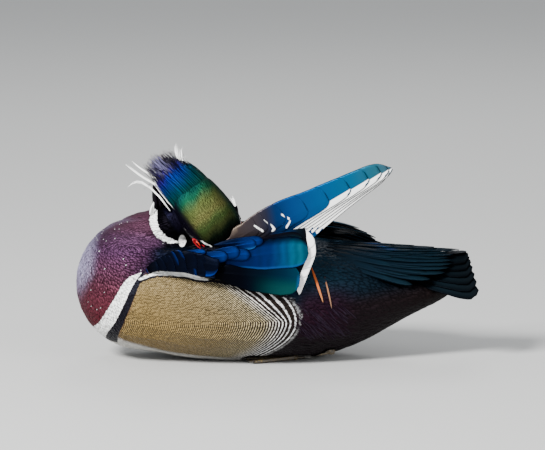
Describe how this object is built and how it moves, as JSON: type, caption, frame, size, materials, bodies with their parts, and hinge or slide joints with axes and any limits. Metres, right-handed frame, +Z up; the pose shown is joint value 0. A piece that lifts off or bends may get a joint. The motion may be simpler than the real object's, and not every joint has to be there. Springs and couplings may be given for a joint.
{
  "type": "wood duck, preening drake",
  "caption": "Life-size still model of a drake wood duck resting on its belly, head turned back to preen under a lifted wing.",
  "frame": {"origin": "on the floor under the body, at the middle of the flat of the belly", "axes": "+Z up, -X towards the breast, +X towards the tail, -Y towards the bird's left side"},
  "size_m": [0.3779, 0.1594, 0.2041],
  "materials": {
    "bill": "smooth horn, red base with a white and black ridge",
    "bill_dark": "smooth dark horn",
    "breast_feathers": "maroon feathers with a violet sheen and small pale specks",
    "crest_feathers": "long silky feathers, violet to green sheen, with white strands",
    "eye": "wet red iris with a black pupil",
    "flank_feathers": "buff feathers finely barred with black, edged with black and white",
    "head_feathers": "soft feathers with a green and violet metallic sheen",
    "leg_skin": "scaly dull yellow-orange skin",
    "neck_feathers": "short feathers, black with a purple gloss, and a white prong",
    "primary_feathers": "stiff flight feathers, blue and teal with silvery outer webs",
    "rump_feathers": "glossy black feathers with teal and purple sheen",
    "shoulder_feathers": "glossy navy feathers",
    "speculum_feathers": "stiff flight feathers, metallic blue with white tips",
    "tail_feathers": "stiff black feathers with a teal gloss",
    "tertial_feathers": "broad glossy feathers, blue to green-black"
  },
  "bodies": {
    "root": {"bill_lower": "bill_dark", "bill_upper": "bill", "breast": "breast_feathers", "crest": "crest_feathers", "eye_left": "eye", "eye_right": "eye", "foot_left": "leg_skin", "foot_right": "leg_skin", "head": "head_feathers", "leg_left": "leg_skin", "leg_right": "leg_skin", "neck": "neck_feathers", "rump": "rump_feathers", "scapulars_left": "shoulder_feathers", "scapulars_right": "shoulder_feathers", "tail": "tail_feathers", "tail_coverts": "rump_feathers", "torso": "flank_feathers", "wing_left": "shoulder_feathers", "wing_left_coverts": "tertial_feathers", "wing_left_primaries": "primary_feathers", "wing_left_secondaries": "speculum_feathers", "wing_left_tertials": "tertial_feathers", "wing_right": "shoulder_feathers", "wing_right_coverts": "tertial_feathers", "wing_right_primaries": "primary_feathers", "wing_right_secondaries": "speculum_feathers", "wing_right_tertials": "tertial_feathers"}
  },
  "joints": []
}
